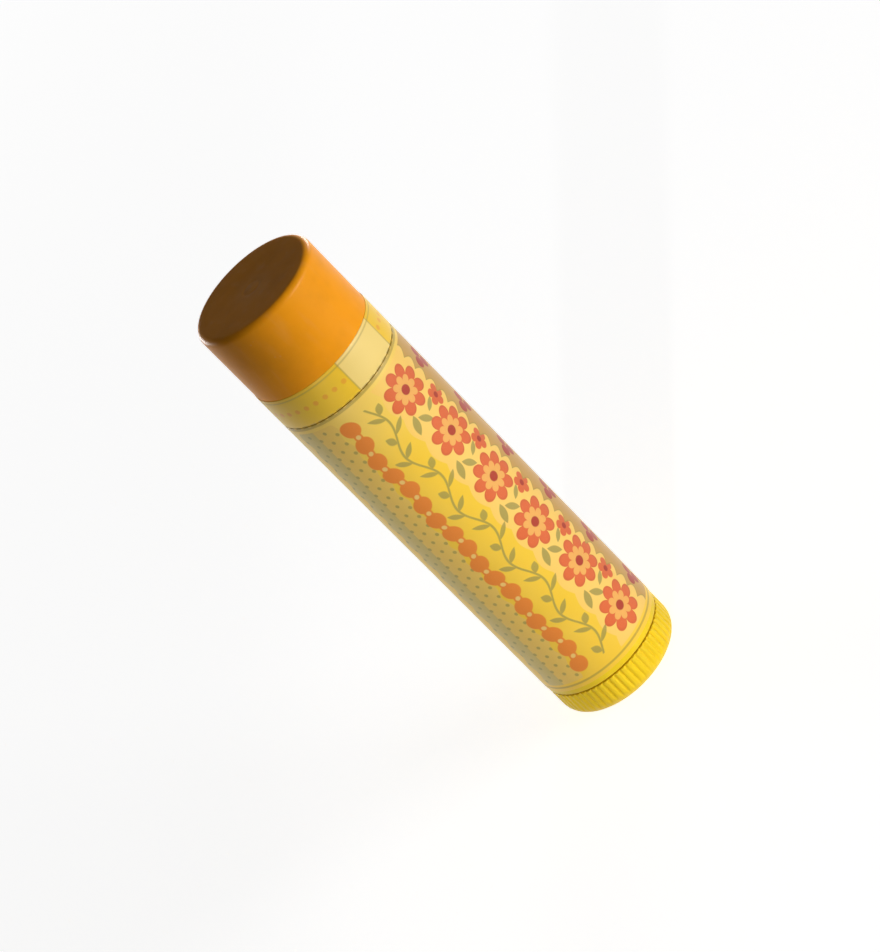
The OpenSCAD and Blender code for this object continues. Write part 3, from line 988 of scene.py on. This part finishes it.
class MakeWax(bpy.types.Operator):
    """Makes the wax: a domed stick with grooves for the bore's ribs, cast into the elevator and round
    the screw"""

    bl_idname = "balm_stick.wax"
    bl_label = "Wax"

    channel_edge, cast_edge, heel_edge = 0.1 * MM, 0.05 * MM, 0.1 * MM
    crown_points, crown_sink, crown_lag = 14, 0.02 * MM, 0.6
    side_gap, shoulder_gap = 0.3 * MM, 0.1 * MM

    def execute(self, context):
        """The section runs from the end of the screw's channel, down it, round the foot in the
        elevator's cup, up the side and over the crown, whose height is the sphere's: its top, less its
        radius, plus the root of the radius squared less the distance from the axis squared."""
        sizes, c = context.scene.balm_sizes, context.scene.balm_colours
        r, low, top = WAX[1][0], WAX[0][2], WAX[1][2]
        cup = ELEVATOR[1][2] + POUR_GAP
        edge_z = top - DOME_R + math.sqrt(DOME_R**2 - r**2)
        across = np.linspace(1, 0, self.crown_points)[:, None] * (r - sizes.wax_edge_r)
        crown = np.hstack([across, top - DOME_R + np.sqrt(DOME_R**2 - across**2)])
        section = rounded(
            [
                (0, CHANNEL_TOP, 0),
                (CHANNEL_R, CHANNEL_TOP, self.channel_edge),
                (CHANNEL_R, cup, self.cast_edge),
                (BOSS_R, cup, self.cast_edge),
                (BOSS_R, low, self.cast_edge),
                (CUP_R, low, self.cast_edge),
                (CUP_R, cup, self.cast_edge),
                (r, cup, self.heel_edge),
                (r, edge_z, sizes.wax_edge_r * 0.9),
                (*crown[0], 0),
            ],
            steps=7,
        )
        section = np.vstack([denser(section, longest=0.9 * MM), crown[1:]])
        shoulder = edge_z - sizes.wax_edge_r - self.shoulder_gap

        def reshape(radius, height, angle):
            """The side comes in at the guide ribs, the foot is lifted over the elevator's four fins,
            and the crown sinks a little with the sine of twice the angle, as a poured crown does."""
            notch = bars(angle, height, r, NOTCH_W, NOTCH_FLANK, NOTCH_TOP, NOTCH_SLOPE)
            side = (radius > CUP_R + self.side_gap) & (height > cup - HAIR) & (height < shoulder)
            fins = near_bar(angle, GUIDE_COUNT, math.pi / 4, np.maximum(radius, BOSS_R)) < FIN_HALF
            foot = (height < FIN_TOP) & (radius < CUP_R + HAIR) & fins
            tilt = 1 - np.sin(2 * angle + self.crown_lag) * smooth(radius / r)
            sink = self.crown_sink * tilt * (height > shoulder)
            radius = np.where(side, radius - NOTCH_DEEP * notch, radius)
            return radius, np.where(foot, FIN_TOP, height - sink)

        wax = turned("wax_stick", section, count=288, reshape=reshape)
        settle(wax, "carrier", "balm_stick", poured_wax(c))
        return {"FINISHED"}


class FinishInside(bpy.types.Operator):
    """Gives the screw and the elevator, whose own shapes stay, their undyed plastic"""

    bl_idname = "balm_stick.inside"
    bl_label = "Screw and elevator"

    def execute(self, context):
        """The undyed plastic goes into each slot of the two CAD nodes."""
        c = context.scene.balm_colours
        natural = moulded("natural_plastic", c.natural, 0.42, 0.4, gate_z=CHANNEL_TOP, glow=0.25)
        for name in ("screw_spindle", "elevator"):
            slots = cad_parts[name].material_slots
            if not slots:
                raise RuntimeError(f"{name} has no material slot")
            for slot in slots:
                slot.material = natural
        return {"FINISHED"}


class SetStage(bpy.types.Operator):
    """Sets the pale floor, the soft lights and the camera at the photograph's angle"""

    bl_idname = "balm_stick.stage"
    bl_label = "Stage"

    floor_r = 3.0
    floor_gap = 0.02 * MM
    floor_glow, far_glow = 0.785, 0.93
    glow_rises = 0.3, 0.8
    world_light = 0.09
    backdrop_rise = 0.2
    aim_z = 34 * MM

    # Each softbox: name, width, height, power, angle round the stick, angle above it and distance
    softboxes = (
        ("key_softbox", 0.55, 0.14, 6.4, 52, 2.5, 0.9),
        ("left_back_softbox", 0.3, 0.1, 3.6, -150, 0, 0.9),
        ("right_back_softbox", 0.3, 0.1, 3.6, 150, 0, 0.9),
    )
    fill_cone, fill_blend, fill_radius, fill_power = 8.6, 0.6, 0.012, 10.1
    fill_around, fill_above, fill_away, fill_z = -25, 5, 0.8, 5 * MM

    camera_tilt = 26.5
    camera_away = 0.561
    camera_lens, sensor_w = 186.0, 36.0
    camera_roll = 44.648
    pixels_per_metre = 8770
    shift_px = 0.2, -2.7

    def execute(self, context):
        """The floor is a flat disc, turned like the pieces. The lamps face the stick from points round
        it."""
        scene = context.scene
        low = -self.floor_gap
        outline = np.array([[0, 2 * low], [self.floor_r, 2 * low], [self.floor_r, low], [0, low]])
        floor = turned("floor", outline, count=96)
        floor.data.materials.append(self.floor_finish(scene.balm_colours))
        self.world(scene)
        for name, width, height, power, around, above, distance in self.softboxes:
            self.hang(self.softbox(name, width, height, power), around, above, distance, self.aim_z)
        fill = self.spot("fill_spot", self.fill_cone, self.fill_blend, self.fill_radius, self.fill_power)
        self.hang(fill, self.fill_around, self.fill_above, self.fill_away, self.fill_z)
        scene.camera = self.camera(Vector((0, 0, self.aim_z)))
        scene.view_settings.view_transform = "Standard"
        return {"FINISHED"}

    def floor_finish(self, c):
        """A pale floor: white by its own glow to the camera and in reflections, with lit paint that
        keeps a soft shadow. The glow rises with an S-curve of the distance from the stick, to make up
        for the lamps' light."""
        f = Finish("pale_floor", c.floor, roughness=0.9, specular=0.0)
        f.tint(f.noise(width=400, detail=2), shaded(c.floor, 0.96), share=0.05)
        x, y, _ = f.parts(f.place)
        far = f.step(f.reach(x, y), *self.glow_rises)
        glow = f.most(*self.rays(f)) * f.spread(far, self.floor_glow, self.far_glow)
        f.set(Base_Color=f.tone, Emission_Color=(1.0, 1.0, 1.0), Emission_Strength=glow)
        return f.material

    def rays(self, nodes):
        """Whether a ray comes from the camera, and whether it is a reflection or shines through
        something."""
        path, kinds = nodes.node("ShaderNodeLightPath"), ("Camera", "Glossy", "Transmission")
        camera, glossy, through = (Value(nodes, path.outputs[f"Is {kind} Ray"]) for kind in kinds)
        return camera, nodes.most(glossy, through)

    def world(self, scene):
        """A world that lights the stick dimly. It is white to the camera, and in reflections up to the
        height of a low backdrop, where its strength falls with an S-curve of the direction's rise."""
        scene.world = bpy.data.worlds.new("studio")
        w = Nodes(scene.world)
        _, _, rise = w.parts(w.value("ShaderNodeTexCoord", "Generated"))
        camera, mirrored = self.rays(w)
        backdrop = mirrored * w.step(rise, self.backdrop_rise, self.backdrop_rise / 2)
        strength = w.spread(w.most(camera, backdrop), self.world_light, 1.0)
        light = w.value("ShaderNodeBackground", inputs={"Color": (1.0, 1.0, 1.0), "Strength": strength})
        w.node("ShaderNodeOutputWorld", {"Surface": light})

    def softbox(self, name, width, height, power):
        """A soft rectangular lamp."""
        data = bpy.data.lights.new(name, "AREA")
        data.shape, data.size, data.size_y, data.energy = "RECTANGLE", width, height, power
        return data

    def spot(self, name, cone, blend, radius, power):
        """A spot lamp with the width of its cone in degrees and the share of the cone that fades."""
        data = bpy.data.lights.new(name, "SPOT")
        data.spot_size, data.spot_blend = math.radians(cone), blend
        data.shadow_soft_size, data.energy = radius, power
        return data

    def hang(self, data, around, above, distance, target_z):
        """Hangs a lamp that faces a height on the axis. Its angle round the stick counts from -Y
        towards +X."""
        lamp = bpy.data.objects.new(data.name, data)
        a, e = math.radians(around), math.radians(above)
        back = Vector((math.sin(a) * math.cos(e), -math.cos(a) * math.cos(e), math.sin(e)))
        place = Matrix.Translation(Vector((0, 0, target_z)) + back * distance)
        lamp.matrix_world = place @ back.to_track_quat("Z", "Y").to_matrix().to_4x4()
        bpy.context.scene.collection.objects.link(lamp)

    def camera(self, middle):
        """A camera in front that looks down at the stick and is rolled, so that the upright axis points
        to the upper left of the picture. The middle of the stick falls shift_px right of and above the
        picture's middle."""
        tilt = math.radians(self.camera_tilt)
        ahead = Vector((0, math.cos(tilt), -math.sin(tilt)))
        level, rise = Vector((1, 0, 0)), Vector((0, math.sin(tilt), math.cos(tilt)))
        roll = math.radians(self.camera_roll)
        right = level * math.cos(roll) - rise * math.sin(roll)
        up = level * math.sin(roll) + rise * math.cos(roll)
        data = bpy.data.cameras.new("photo_camera")
        data.lens, data.sensor_width = self.camera_lens, self.sensor_w
        data.clip_start, data.clip_end = 0.05, 20
        camera = bpy.data.objects.new("photo_camera", data)
        aim = middle - (right * self.shift_px[0] + up * self.shift_px[1]) / self.pixels_per_metre
        turn = Matrix((right, up, -ahead)).transposed().to_4x4()
        camera.matrix_world = Matrix.Translation(aim - ahead * self.camera_away) @ turn
        bpy.context.scene.collection.objects.link(camera)
        return camera


class StickPanel(bpy.types.Panel):
    """Lists the stick's sizes, colours and pieces in the sidebar of the 3D view"""

    bl_idname = "VIEW3D_PT_balm_stick"
    bl_label = "Lip balm stick"
    bl_space_type = "VIEW_3D"
    bl_region_type = "UI"
    bl_category = "Balm Stick"

    def draw(self, context):
        """One box for each group of properties, and a button for each operator."""
        for group in (context.scene.balm_sizes, context.scene.balm_print, context.scene.balm_colours):
            box = self.layout.box()
            for name in group.__annotations__:
                box.prop(group, name)
        for maker in MAKERS:
            self.layout.operator(maker.bl_idname)


MAKERS = (MakeCap, MakeFilm, MakeBarrel, MakeWheel, MakeWax, FinishInside, SetStage)
CLASSES = (StickSizes, StickPrint, StickColours, *MAKERS, StickPanel)


def register():
    """Registers the classes and hangs the properties on the scene."""
    for each in CLASSES:
        bpy.utils.register_class(each)
    bpy.types.Scene.balm_sizes = bpy.props.PointerProperty(type=StickSizes)
    bpy.types.Scene.balm_print = bpy.props.PointerProperty(type=StickPrint)
    bpy.types.Scene.balm_colours = bpy.props.PointerProperty(type=StickColours)


def unregister():
    """Takes the properties and the classes away."""
    del bpy.types.Scene.balm_colours, bpy.types.Scene.balm_print, bpy.types.Scene.balm_sizes
    for each in reversed(CLASSES):
        bpy.utils.unregister_class(each)


def main():
    """Registers the classes and makes every piece in order."""
    register()
    bpy.ops.balm_stick.cap()
    bpy.ops.balm_stick.film()
    bpy.ops.balm_stick.barrel()
    bpy.ops.balm_stick.wheel()
    bpy.ops.balm_stick.wax()
    bpy.ops.balm_stick.inside()
    bpy.ops.balm_stick.stage()


if __name__ == "__main__":
    main()
